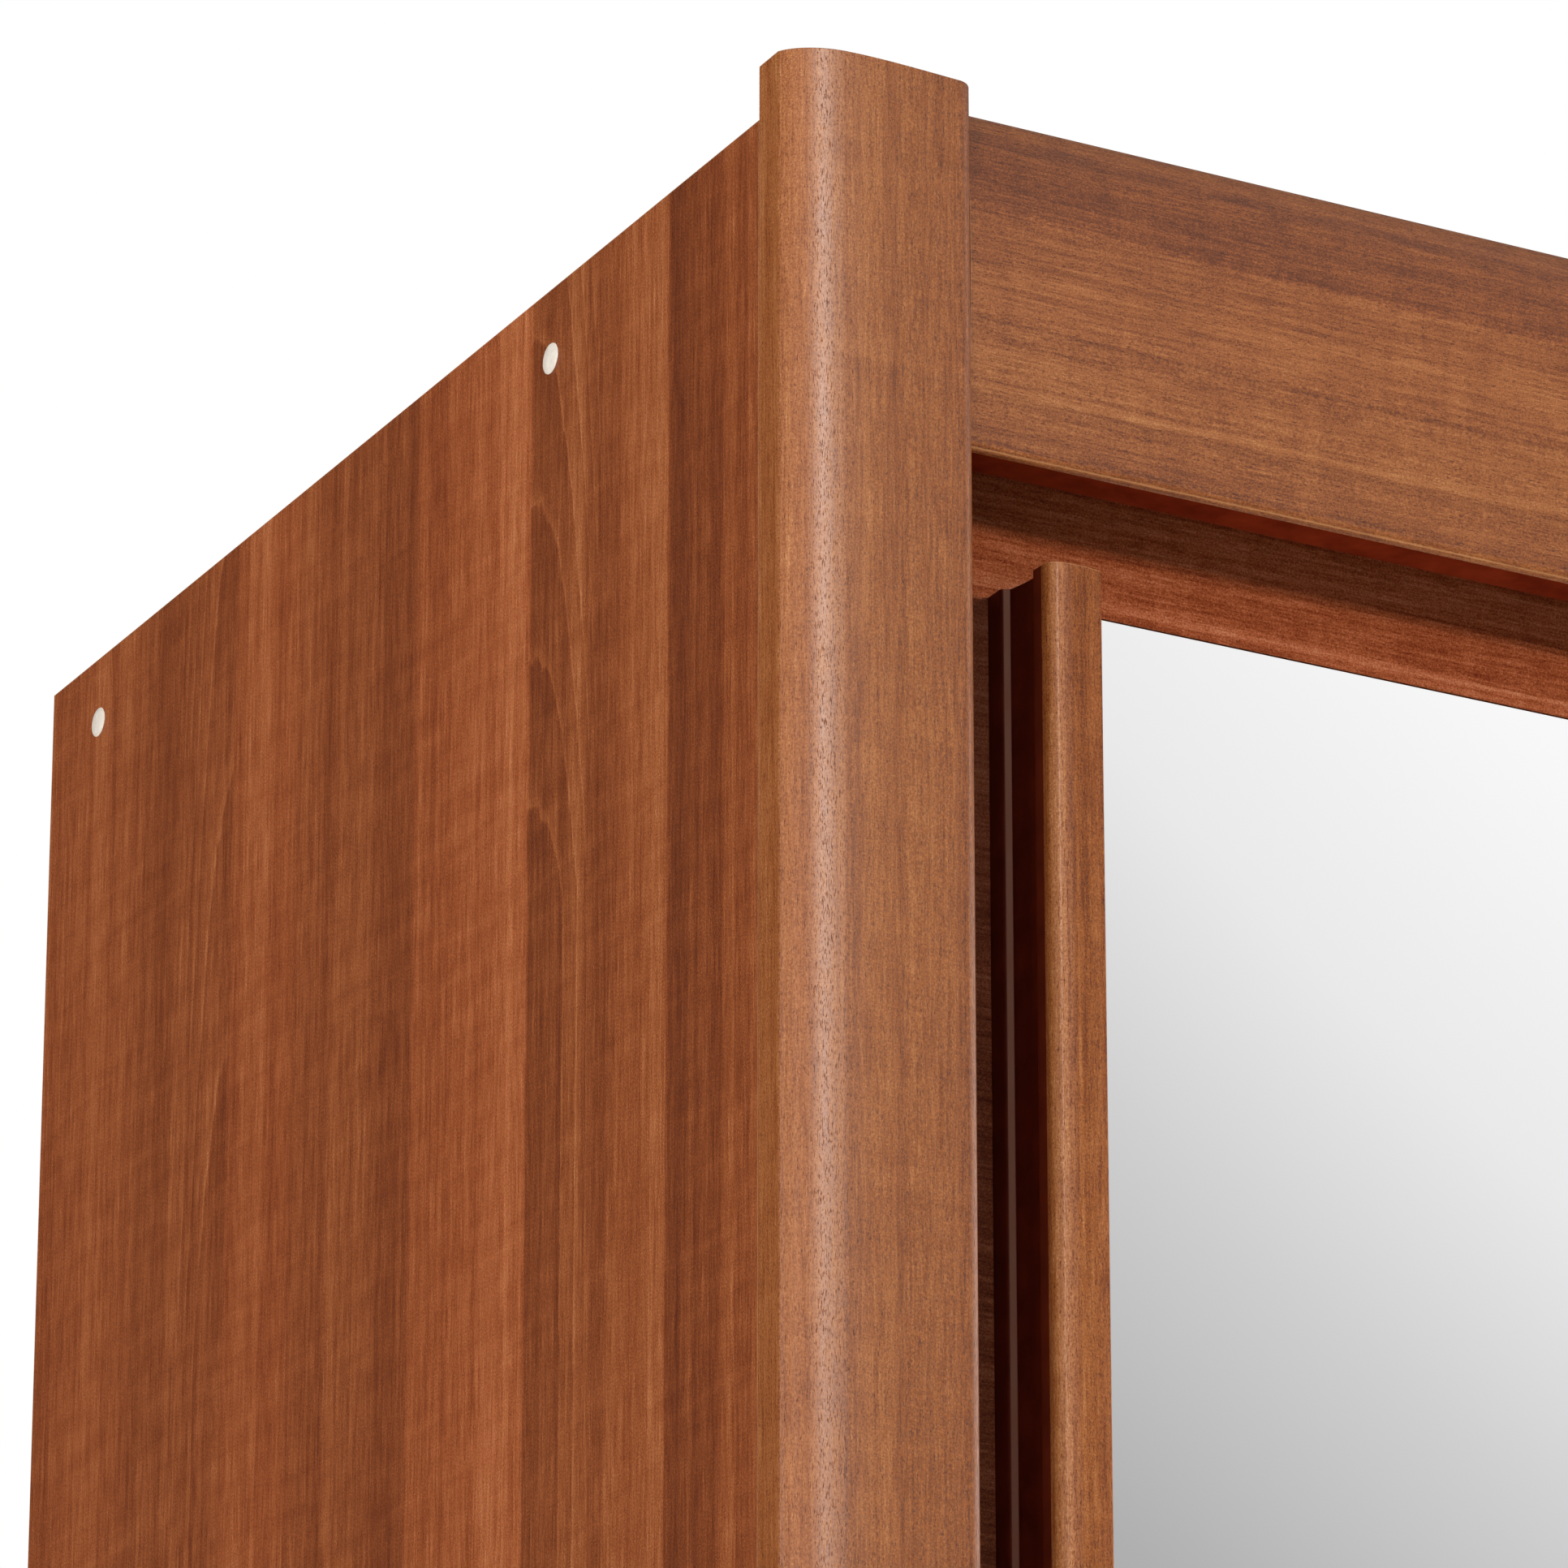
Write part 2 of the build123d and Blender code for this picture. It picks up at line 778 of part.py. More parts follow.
def fitting_screw_places(door):
    """Two screws for each roller housing and top guide, through their ears."""
    heights = (door_bottom + pocket_height / 2, door_top - pocket_height / 2)
    points = [
        (x + side * ear_screw_x, door.rear, z)
        for x in door.fittings()
        for side in (-1, 1)
        for z in heights
    ]
    return places(points, "-Y")


def build_fitting(door, x, z_span, slack):
    """The stepped block that fills a pocket in the door's back, or the pocket itself."""
    face = door.face + front_skin + slack
    depth_mode = Mode.SUBTRACT if slack == 0 else Mode.ADD
    rear = door.rear + 1 if slack == 0 else door.rear
    half = pocket_half - slack
    ear = ear_half - slack
    block((x - half, x + half), (face, rear), z_span, depth_mode)
    block((x - ear, x + ear), (door.rear - ear_depth + slack, rear), z_span, depth_mode)


def build_door(side):
    """One door: its board, mirror, handle mouldings, rollers, guides and buffers."""
    door = Door(side)
    low_pocket = (door_bottom - 1, door_bottom + pocket_height)
    high_pocket = (door_top - pocket_height, door_top + 1)

    with BuildPart() as panel:
        block(
            door.span(buffer_thickness, door_width - buffer_thickness),
            (door.face, door.rear),
            (door_bottom, door_top),
        )
        fillet(panel.edges().filter_by(Axis.Z), radius=door_edge)
        for x in door.fittings():
            build_fitting(door, x, low_pocket, 0)
            build_fitting(door, x, high_pocket, 0)
        drill(handle_hole, handle_screw_places(door))
        drill(fitting_hole, fitting_screw_places(door))
    finish(f"{side}_door_panel", panel.part)

    glass_inset = handle_inset + handle_width + handle_gap
    with BuildPart() as glass:
        block(
            door.span(glass_inset, door_width - glass_inset),
            (door.face - mirror_thickness, door.face),
            mirror_span,
        )
        chamfer(glass.faces().sort_by(Axis.Y)[0].edges(), length=mirror_arris)
    finish(f"{side}_door_mirror", glass.part)

    outline = handle_outline()
    flipped = mirror(outline, about=Plane.YZ)
    for place, distance in (("outer", handle_inset), ("inner", door_width - handle_inset)):
        x = door.across(distance)
        section = outline if x < door.across(door_width / 2) else flipped
        with BuildPart() as handle:
            extrude(Pos(x, door.face, mirror_span[0]) * section, amount=mirror_span[1] - mirror_span[0])
            drill(handle_hole, handle_screw_places(door))
        finish(f"{side}_door_{place}_handle", handle.part)
    finish(f"{side}_door_handle_screws", group(handle_screw, handle_screw_places(door)))

    with BuildPart() as housings:
        for x in door.fittings():
            build_fitting(door, x, (door_bottom, door_bottom + pocket_height - touch_gap), touch_gap)
            block(
                (x - wheel_slot_half, x + wheel_slot_half),
                (door.centre - wheel_slot_width / 2, door.centre + wheel_slot_width / 2),
                (door_bottom - 1, wheel_height + wheel_slot_half),
                Mode.SUBTRACT,
            )
            with Locations((x, door.centre, wheel_height)):
                Cylinder(axle_hole_radius, 2 * pocket_depth, rotation=(90, 0, 0), mode=Mode.SUBTRACT)
        drill(fitting_hole, fitting_screw_places(door))
    finish(f"{side}_door_roller_housings", housings.part)

    with BuildPart() as axles:
        with Locations(*[(x, door.centre, wheel_height) for x in door.fittings()]):
            Cylinder(axle_radius, axle_length, rotation=(90, 0, 0))
    finish(f"{side}_door_axles", axles.part)

    for place, x in zip(("outer", "inner"), door.fittings()):
        with BuildPart() as wheel:
            with Locations(Location((x, door.centre, wheel_height), pointing("+Y"))):
                add(wheel_shape)
        finish(f"{side}_door_{place}_wheel", wheel.part)

    with BuildPart() as guides:
        for x in door.fittings():
            build_fitting(door, x, (door_top - pocket_height + touch_gap, door_top), touch_gap)
            block(
                (x - tongue_half, x + tongue_half),
                (door.centre - tongue_width / 2, door.centre + tongue_width / 2),
                (door_top, ceiling - channel_wall - screw_head_room),
            )
        drill(fitting_hole, fitting_screw_places(door))
    finish(f"{side}_door_top_guides", guides.part)
    finish(f"{side}_door_fitting_screws", group(fitting_screw, fitting_screw_places(door)))

    with BuildPart() as buffers:
        buffer_span = (door.face + buffer_setback, door.face + buffer_setback + buffer_width)
        for start in (0, door_width - buffer_thickness):
            block(door.span(start, start + buffer_thickness), buffer_span, (door_bottom, door_top))
    finish(f"{side}_door_buffers", buffers.part)


for side in ("left", "right"):
    build_door(side)
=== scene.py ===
"""Looks of the sliding-door armoire: finishes, softened edges, floor, light and camera."""

import json
import math
import random
from collections import namedtuple

import bmesh
import bpy
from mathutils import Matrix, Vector

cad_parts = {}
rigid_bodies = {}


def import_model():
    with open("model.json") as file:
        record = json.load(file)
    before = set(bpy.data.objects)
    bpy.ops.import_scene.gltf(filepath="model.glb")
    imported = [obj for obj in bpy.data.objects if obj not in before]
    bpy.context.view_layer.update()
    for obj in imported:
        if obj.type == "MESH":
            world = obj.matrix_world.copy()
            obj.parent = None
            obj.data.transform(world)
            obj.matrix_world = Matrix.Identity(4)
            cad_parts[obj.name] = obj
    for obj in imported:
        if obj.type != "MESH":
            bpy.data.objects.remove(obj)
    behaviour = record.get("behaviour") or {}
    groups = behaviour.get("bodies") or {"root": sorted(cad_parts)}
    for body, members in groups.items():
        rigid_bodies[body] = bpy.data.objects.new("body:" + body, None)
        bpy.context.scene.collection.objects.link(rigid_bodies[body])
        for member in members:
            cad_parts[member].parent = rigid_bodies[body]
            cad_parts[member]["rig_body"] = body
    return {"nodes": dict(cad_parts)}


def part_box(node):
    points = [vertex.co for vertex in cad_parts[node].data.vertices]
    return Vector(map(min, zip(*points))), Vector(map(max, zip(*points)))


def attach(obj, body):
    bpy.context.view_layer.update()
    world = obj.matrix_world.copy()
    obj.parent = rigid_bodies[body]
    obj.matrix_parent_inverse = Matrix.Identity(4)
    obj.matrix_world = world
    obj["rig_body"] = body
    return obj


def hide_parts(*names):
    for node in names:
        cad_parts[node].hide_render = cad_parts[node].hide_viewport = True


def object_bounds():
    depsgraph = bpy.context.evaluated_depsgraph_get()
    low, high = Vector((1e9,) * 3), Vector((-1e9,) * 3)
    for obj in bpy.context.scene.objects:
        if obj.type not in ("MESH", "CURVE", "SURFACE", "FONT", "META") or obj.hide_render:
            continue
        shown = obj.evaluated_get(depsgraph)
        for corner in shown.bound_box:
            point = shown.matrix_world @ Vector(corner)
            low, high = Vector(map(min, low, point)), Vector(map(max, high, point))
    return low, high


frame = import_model()
cad_low, cad_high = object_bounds()
nodes = frame["nodes"]
X, Y, Z = 0, 1, 2
MM = 0.001
MICRON = 1e-6


def srgb(red, green, blue):
    """Linear colour of a display colour given as 0 to 255."""
    shares = (red / 255, green / 255, blue / 255)
    return [v / 12.92 if v <= 0.04045 else ((v + 0.055) / 1.055) ** 2.4 for v in shares]


class Graph:
    """A node tree being built. Each drawing method returns the socket that carries its result."""

    def __init__(self, tree):
        self.tree = tree
        tree.nodes.clear()

    def add(self, kind, **settings):
        node = self.tree.nodes.new(kind)
        for name, value in settings.items():
            setattr(node, name, value)
        return node

    def feed(self, socket, value):
        if isinstance(value, bpy.types.NodeSocket):
            self.tree.links.new(value, socket)
        else:
            socket.default_value = value

    def math(self, operation, first, second=0.0, third=0.0):
        node = self.add("ShaderNodeMath", operation=operation)
        for socket, value in zip(node.inputs, (first, second, third)):
            self.feed(socket, value)
        return node.outputs[0]

    def total(self, *terms):
        result = terms[0]
        for term in terms[1:]:
            result = self.math("ADD", result, term)
        return result

    def scaled(self, value, factor, shift=0.0):
        return self.math("MULTIPLY_ADD", value, factor, shift)

    def centred(self, value, factor):
        """A value of 0 to 1, scaled to run evenly to both sides of zero."""
        return self.scaled(value, factor, -factor / 2)

    def step(self, value, start, end):
        """0 up to start and 1 from end on, with a smooth rise between them."""
        node = self.add("ShaderNodeMapRange", interpolation_type="SMOOTHSTEP")
        for name, number in (("Value", value), ("From Min", start), ("From Max", end)):
            self.feed(node.inputs[name], number)
        return node.outputs[0]

    def mix(self, share, first, second, blend="MIX"):
        node = self.add("ShaderNodeMix", data_type="RGBA", blend_type=blend)
        self.feed(node.inputs[0], share)
        for socket, value in ((node.inputs[6], first), (node.inputs[7], second)):
            self.feed(socket, value if isinstance(value, bpy.types.NodeSocket) else [*value, 1.0])
        return node.outputs[2]

    def vector(self, x, y, z):
        node = self.add("ShaderNodeCombineXYZ")
        for socket, value in zip(node.inputs, (x, y, z)):
            self.feed(socket, value)
        return node.outputs[0]

    def split(self, vector):
        node = self.add("ShaderNodeSeparateXYZ")
        self.feed(node.inputs[0], vector)
        return node.outputs

    def noise(self, vector, scale=1.0, detail=2.0, rough=0.5, twist=0.0):
        node = self.add("ShaderNodeTexNoise")
        self.feed(node.inputs["Vector"], vector)
        for name, value in (("Scale", scale), ("Detail", detail), ("Roughness", rough), ("Distortion", twist)):
            self.feed(node.inputs[name], value)
        return node.outputs["Fac"]

    def ramp(self, share, stops, interpolation="LINEAR"):
        """The colour at a share from 0 to 1, between stops of (place, colour)."""
        node = self.add("ShaderNodeValToRGB")
        band = node.color_ramp
        band.interpolation = interpolation
        while len(band.elements) < len(stops):
            band.elements.new(1.0)
        # All places are set before any colour, because a new place can reorder the elements.
        for element, (place, _) in zip(band.elements, stops):
            element.position = place
        for element, (_, colour) in zip(band.elements, stops):
            element.color = colour if len(colour) == 4 else [*colour, 1.0]
        self.feed(node.inputs[0], share)
        return node.outputs

    def bump(self, height, depth):
        node = self.add("ShaderNodeBump")
        self.feed(node.inputs["Height"], height)
        self.feed(node.inputs["Strength"], 1.0)
        self.feed(node.inputs["Distance"], depth)
        return node.outputs[0]


class Finish(Graph):
    """A material whose patterns are laid out in the row frame, in metres."""

    def __init__(self, name):
        self.material = bpy.data.materials.new(name)
        self.material.use_nodes = True
        super().__init__(self.material.node_tree)
        self.place = self.add("ShaderNodeTexCoord").outputs["Object"]
        self.axes = self.split(self.place)

    def shade(self, colour, roughness, normal=None, **constants):
        shader = self.add("ShaderNodeBsdfPrincipled")
        self.feed(shader.inputs["Base Color"], colour)
        self.feed(shader.inputs["Roughness"], roughness)
        if normal is not None:
            self.feed(shader.inputs["Normal"], normal)
        for name, value in constants.items():
            shader.inputs[name.replace("_", " ")].default_value = value
        output = self.add("ShaderNodeOutputMaterial")
        self.tree.links.new(shader.outputs[0], output.inputs["Surface"])
        return self.material

    def edge_wear(self, node_name, reach):
        """1 on the outer edges of a node's box, fading to 0 over a wandering reach."""
        low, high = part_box(node_name)
        gaps = []
        for axis, near, far in zip(self.axes, low, high):
            from_middle = self.math("ABSOLUTE", self.math("SUBTRACT", axis, (near + far) / 2))
            gaps.append(self.scaled(from_middle, -1.0, (far - near) / 2))
        larger = self.math("MAXIMUM", gaps[0], gaps[1])
        smaller = self.math("MINIMUM", gaps[0], gaps[1])
        middle = self.math("MAXIMUM", smaller, self.math("MINIMUM", larger, gaps[2]))
        wander = self.noise(self.place, 90.0, 3.0, 0.7)
        limit = self.scaled(wander, reach * 2)
        return self.scaled(self.step(middle, 0.0, limit), -1.0, 1.0)


# ---- Wood foil ----
PANEL = [
    (0.00, srgb(76, 30, 9)),
    (0.25, srgb(103, 46, 16)),
    (0.42, srgb(123, 61, 26)),
    (0.58, srgb(142, 76, 37)),
    (0.75, srgb(162, 96, 53)),
    (1.00, srgb(188, 127, 84)),
]
MOULDING = [
    (0.00, srgb(70, 32, 11)),
    (0.25, srgb(101, 52, 21)),
    (0.45, srgb(124, 69, 30)),
    (0.60, srgb(138, 84, 41)),
    (0.80, srgb(154, 101, 57)),
    (1.00, srgb(178, 131, 86)),
]
DEEP = [
    (0.00, srgb(64, 19, 12)),
    (0.30, srgb(101, 44, 25)),
    (0.50, srgb(128, 66, 35)),
    (0.70, srgb(151, 87, 56)),
    (1.00, srgb(177, 123, 89)),
]
REDDER = (1.06, 0.93, 0.90)
WARM_GLOSS = (1.0, 0.88, 0.78, 1.0)
BROWN_GLOSS = (1.0, 0.50, 0.34, 1.0)
# Pale edge colour: rubbed foil on the edges, and a painted highlight on the cornice's lower lip.
WORN_AND_SHEEN_WOOD = srgb(190, 140, 92)
WORN_REACH = 0.5 * MM

# Tones through one ring of the figure, from its dark line up to its pale rim.
RING_TONES = ((0.0, 0.72), (0.03, 0.30), (0.14, 0.26), (0.5, 0.45), (0.88, 0.56), (0.95, 0.86), (1.0, 0.95))

# A veneer is laid out in metres across its grain. A tone holds at a place and blends into the next one.
# A strip runs from its start to the next strip's. A figured one (figure 1) has arched rings round its heart,
# spaced by the pitch, as wide as the width, with the tip of the first at a height in metres.
Tone = namedtuple("Tone", "place level redness")
Strip = namedtuple("Strip", "start figure heart pitch width first_arch arches")
HIGHEST_ARCH = 3.0
MOST_ARCHES = 20.0


def plain_strip(start):
    return Strip(start, figure=0.0, heart=0.0, pitch=0.1, width=0.03, first_arch=0.0, arches=1.0)


def random_layout(low, high, seed):
    """Tones and strips of a made-up veneer."""
    draw = random.Random(seed)
    tones, strips = [], []
    start = low
    while start < high:
        wide = draw.uniform(0.15, 0.26) * (high - low)
        for share in (0.004, 0.3, 0.65, 0.996):
            tones.append(Tone(start + wide * share, draw.uniform(0.40, 0.62), draw.random()))
        heart = start + wide * draw.choice((0.0, 0.5, 1.0))
        figure = 1.0 if draw.random() < 0.45 else 0.0
        pitch = draw.uniform(0.12, 0.26)
        width = draw.uniform(0.025, 0.045)
        first_arch = draw.uniform(0.0, HIGHEST_ARCH)
        strips.append(Strip(start, figure, heart, pitch, width, first_arch, MOST_ARCHES - 1))
        start += wide
    return tones, strips


def wood(
    node,
    grain,
    across,
    colours,
    layout=None,
    seed=0,
    pores=0.5,
    streaks=1.0,
    threads=0.05,
    rough=0.4,
    gloss=0.4,
    relief=0.05,
    lips=(),
):
    """Printed walnut foil on one node: veneer strips with arched rings, streaks, fibres and pores.

    Grain and across are axes. Pores, streaks and threads are weights, relief is a depth in millimetres,
    and lips are heights of sharp horizontal edges painted pale: rubbed foil, and at the cornice's lower front
    edge also a painted highlight.
    """
    finish = Finish(node)
    low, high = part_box(node)
    along = finish.axes[grain]
    side = finish.axes[across]
    depth = finish.axes[X + Y + Z - grain - across]
    shift = random.Random(seed + 100).uniform(1.0, 40.0)

    def fibres(pitch, stretch, detail, roughness=0.55, twist=0.0):
        """Noise drawn out along the grain: one wave per pitch across it, stretch times as long."""
        rate = 1.0 / pitch
        drawn_out = finish.scaled(along, rate / stretch, shift)
        spot = finish.vector(finish.scaled(side, rate, shift), finish.scaled(depth, rate), drawn_out)
        return finish.noise(spot, 1.0, detail, roughness, twist)

    tones, strips = layout or random_layout(low[across], high[across], seed)
    start, span = low[across], high[across] - low[across]

    def share_across(place):
        return min(1.0, max(0.0, (place - start) / span))

    share = finish.scaled(side, 1 / span, -start / span)
    tone_stops = [(share_across(t.place), (t.level, t.redness, 0.0)) for t in tones]
    heart_stops = [(share_across(s.start), (s.figure, (s.heart - start) / span, s.pitch)) for s in strips]
    arch_stops = [
        (share_across(s.start), (s.width, s.first_arch / HIGHEST_ARCH, s.arches / MOST_ARCHES)) for s in strips
    ]
    tone, redness, _ = finish.split(finish.ramp(share, tone_stops)[0])
    figure, heart, pitch = finish.split(finish.ramp(share, heart_stops, "CONSTANT")[0])
    width, first_arch, arches = finish.split(finish.ramp(share, arch_stops, "CONSTANT")[0])

    # Arched rings: level lines of the height against a power of the distance from the strip's heart.
    offset = finish.math("ABSOLUTE", finish.math("SUBTRACT", share, heart))
    offset = finish.math("DIVIDE", finish.scaled(offset, span), width)
    bow = finish.scaled(finish.math("POWER", offset, 2.5), 1.35)
    drop = finish.math("SUBTRACT", finish.scaled(first_arch, HIGHEST_ARCH), along)
    climb = finish.math("MINIMUM", finish.math("DIVIDE", drop, pitch), finish.scaled(arches, MOST_ARCHES))
    wide_waver = finish.scaled(fibres(0.04, 8.0, 2.0), 0.6)
    fine_waver = finish.scaled(fibres(0.005, 3.0, 2.0), 0.22)
    rings = finish.total(finish.math("SUBTRACT", climb, bow), finish.total(wide_waver, fine_waver))
    ring_stops = [(place, [level] * 3) for place, level in RING_TONES]
    ring_tone = finish.ramp(finish.math("FRACT", rings), ring_stops)[0]
    ring_share = finish.math("MULTIPLY", figure, finish.scaled(finish.step(offset, 1.0, 2.0), -1.0, 1.0))
    ring_part = finish.math("MULTIPLY", finish.scaled(ring_tone, 0.34, -0.16), ring_share)

    cloud = fibres(0.05, 12.0, 2.0)
    streak = fibres(0.014, 60.0, 3.0, 0.6, 0.3)
    line = fibres(0.0042, 110.0, 2.0, 0.5, 0.2)
    fibre = fibres(0.0011, 22.0, 3.0, 0.75)
    grit = finish.noise(finish.place, 1400.0, 2.0, 0.6)
    ripple_spot = finish.vector(finish.scaled(side, 22.0, shift), finish.scaled(along, 120.0), depth)
    ripple = finish.noise(ripple_spot, 1.0, 2.0, 0.5, 0.6)
    dash = finish.math("MULTIPLY", finish.step(fibres(0.0003, 7.0, 1.0), 0.56, 0.70), pores)
    thread = finish.step(fibres(0.011, 90.0, 1.0, 0.5, 0.4), 0.62, 0.66)
    level = finish.total(
        tone,
        ring_part,
        finish.centred(cloud, 0.36),
        finish.centred(streak, 0.52 * streaks),
        finish.centred(line, 0.32 * streaks),
        finish.scaled(thread, threads),
        finish.centred(fibre, 0.86),
        finish.centred(ripple, 0.22),
        finish.centred(grit, 1.0),
        finish.scaled(dash, -0.24),
    )
    colour = finish.ramp(level, colours)[0]
    colour = finish.mix(redness, colour, finish.mix(1.0, colour, REDDER, "MULTIPLY"))
    wear_and_sheen = finish.edge_wear(node, WORN_REACH)
    for lip in lips:
        gap = finish.math("ABSOLUTE", finish.scaled(finish.axes[Z], 1.0, -lip))
        limit = finish.scaled(finish.noise(finish.place, 160.0, 3.0, 0.7), 0.7 * MM)
        wear_and_sheen = finish.math("MAXIMUM", wear_and_sheen, finish.scaled(finish.step(gap, 0.1 * MM, limit), -1.0, 1.0))
    colour = finish.mix(finish.scaled(wear_and_sheen, 0.38), colour, WORN_AND_SHEEN_WOOD)
    fibre_matt = finish.scaled(fibre, 0.2, rough - 0.10)
    matt = finish.total(fibre_matt, finish.scaled(dash, 0.2), finish.scaled(wear_and_sheen, 0.15))
    height = finish.total(finish.scaled(fibre, 0.5), finish.scaled(dash, -1.0), finish.scaled(grit, 0.25))
    normal = finish.bump(height, relief * MM)
    return finish.shade(colour, matt, normal, Specular_IOR_Level=gloss, Specular_Tint=WARM_GLOSS)


# ---- Other materials ----
def speckled(name, light, dark, rough, grain, bump=0.03, metallic=0.0, brushed=None):
    """Moulded, plated or brushed surface: mottled colour, uneven gloss and a fine relief in millimetres."""
    finish = Finish(name)
    spot = finish.place
    if brushed is not None:
        stretch = [1.0, 1.0, 1.0]
        stretch[brushed] = 0.02
        spot = finish.vector(*[finish.scaled(axis, factor) for axis, factor in zip(finish.axes, stretch)])
    fine = finish.noise(spot, grain, 3.0, 0.6)
    cloud = finish.noise(finish.place, 18.0, 3.0, 0.6)
    level = finish.total(finish.scaled(fine, 0.5), finish.scaled(cloud, 0.5))
    colour = finish.ramp(level, [(0.3, dark), (0.7, light)])[0]
    matt = finish.total(finish.scaled(fine, 0.16, rough - 0.12), finish.scaled(cloud, 0.08))
    return finish.shade(colour, matt, finish.bump(fine, bump * MM), Metallic=metallic)


def mirror_glass(node):
    """Silvered glass: bright face with faint smears, and a ground greenish rim."""
    finish = Finish(node)
    smear = finish.noise(finish.place, 9.0, 4.0, 0.6, 0.8)
    speck = finish.noise(finish.place, 1200.0, 2.0)
    rim = finish.edge_wear(node, WORN_REACH)
    colour = finish.mix(rim, srgb(248, 248, 248), srgb(150, 160, 158))
    matt = finish.total(finish.scaled(smear, 0.016), finish.scaled(rim, 0.3))
    return finish.shade(colour, matt, finish.bump(speck, 0.0004 * MM), Metallic=1.0)


def hardboard(name):
    """Plain brown face of thin fibreboard, flecked with short loose fibres."""
    finish = Finish(name)
    cloud = finish.noise(finish.place, 7.0, 4.0, 0.6)
    fleck = finish.noise(finish.place, 420.0, 3.0, 0.7, 1.2)
    level = finish.total(finish.scaled(cloud, 0.16), finish.scaled(fleck, 0.84))
    browns = [(0.3, srgb(116, 80, 52)), (0.52, srgb(140, 100, 68)), (0.7, srgb(164, 124, 88))]
    colour = finish.ramp(level, browns)[0]
    return finish.shade(colour, finish.scaled(fleck, 0.2, 0.55), finish.bump(fleck, 0.12 * MM))


def shaded_walnut(name, light, dark, gloss):
    """Dull walnut foil darkened as painted shade, for faces that stay in the shade."""
    finish = Finish(name)
    tone = finish.noise(finish.place, 60.0, 3.0, 0.6)
    colour = finish.ramp(tone, [(0.3, dark), (0.7, light)])[0]
    matt = finish.scaled(tone, 0.1, 0.4)
    return finish.shade(colour, matt, Specular_IOR_Level=gloss, Specular_Tint=BROWN_GLOSS)


# ---- Veneers that the photo shows, by place in the row frame ----
LEFT_SIDE_TONES = [
    Tone(-0.287, 0.47, 0.3),
    Tone(-0.270, 0.46, 0.3),
    Tone(-0.268, 0.56, 0.3),
    Tone(-0.262, 0.55, 0.3),
    Tone(-0.260, 0.45, 0.2),
    Tone(-0.249, 0.42, 0.2),
    Tone(-0.240, 0.33, 0.1),
    Tone(-0.2205, 0.32, 0.1),
    Tone(-0.2190, 0.56, 0.3),
    Tone(-0.190, 0.58, 0.4),
    Tone(-0.176, 0.50, 0.2),
    Tone(-0.150, 0.50, 0.1),
    Tone(-0.1118, 0.44, 0.1),
    Tone(-0.1112, 0.71, 1.0),
    Tone(-0.075, 0.67, 1.0),
    Tone(-0.040, 0.56, 0.9),
    Tone(-0.0200, 0.55, 0.8),
    Tone(-0.0185, 0.40, 0.3),
    Tone(0.012, 0.42, 0.2),
    Tone(0.014, 0.47, 0.2),
    Tone(0.033, 0.48, 0.2),
    Tone(0.055, 0.50, 0.3),
    Tone(0.077, 0.52, 0.4),
    Tone(0.090, 0.58, 0.9),
    Tone(0.1378, 0.54, 0.8),
    Tone(0.1384, 0.47, 0.4),
    Tone(0.170, 0.52, 0.3),
    Tone(0.222, 0.44, 0.3),
    Tone(0.2265, 0.58, 0.5),
    Tone(0.265, 0.62, 0.7),
    Tone(0.313, 0.55, 0.6),
]
LEFT_SIDE_STRIPS = [
    plain_strip(-0.287),
    Strip(-0.1870, 1.0, heart=-0.1115, pitch=0.060, width=0.036, first_arch=2.1075, arches=3.35),
    plain_strip(-0.1115),
    Strip(0.1380, 1.0, heart=0.1380, pitch=0.1225, width=0.031, first_arch=2.0075, arches=1.5),
    plain_strip(0.2250),
]
# The cornice's paler band from 2.0575 to 2.081 is a painted highlight, and its dark band from 2.125 to 2.169
# is painted shade on its upper part.
CORNICE_GRAIN_AND_SHADING = [
    Tone(2.033, 0.45, 0.3),
    Tone(2.050, 0.49, 0.3),
    Tone(2.0555, 0.40, 0.1),
    Tone(2.0575, 0.57, 0.3),
    Tone(2.081, 0.54, 0.3),
    Tone(2.0825, 0.40, 0.2),
    Tone(2.085, 0.50, 0.4),
    Tone(2.1235, 0.43, 0.4),
    Tone(2.1250, 0.31, 0.6),
    Tone(2.1600, 0.33, 0.5),
    Tone(2.1690, 0.41, 0.2),
]
NO_STRIPS = [plain_strip(-3.0)]

# Level and redness by share of a moulding's width, from a pilaster's outer edge or a handle's grooved one.
# The pilaster's paler, redder outer edge is a painted highlight.
PILASTER_HIGHLIGHT_TONES = ((0.0, 0.66, 1.0), (0.07, 0.63, 1.0), (0.20, 0.53, 0.5), (0.65, 0.50, 0.3), (1.0, 0.45, 0.4))
# A handle's paler half, by its grooved edge, is partly the foil's grain and partly a painted highlight.
HANDLE_GRAIN_AND_HIGHLIGHT_TONES = ((0.0, 0.62, 0.9), (0.25, 0.66, 0.7), (0.48, 0.58, 0.5), (0.60, 0.44, 0.4), (1.0, 0.44, 0.5))
GROOVED_ON_LEFT = ("left_door_outer_handle", "right_door_inner_handle")
HANDLE_FRONT = 7.0 * MM


def across_moulding(node, tones, flipped=False):
    """A layout from tones given by share of a moulding's width, counted from its left or its right edge."""
    low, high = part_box(node)
    start, span = (high.x, low.x - high.x) if flipped else (low.x, high.x - low.x)
    rows = sorted(Tone(start + share * span, level, redness) for share, level, redness in tones)
    return rows, NO_STRIPS


# ---- Which finish and which softened edge, in millimetres, each node has ----
finishes = {}


def give(names, material, bevel):
    for name in names:
        finishes[name] = (material, bevel * MM)


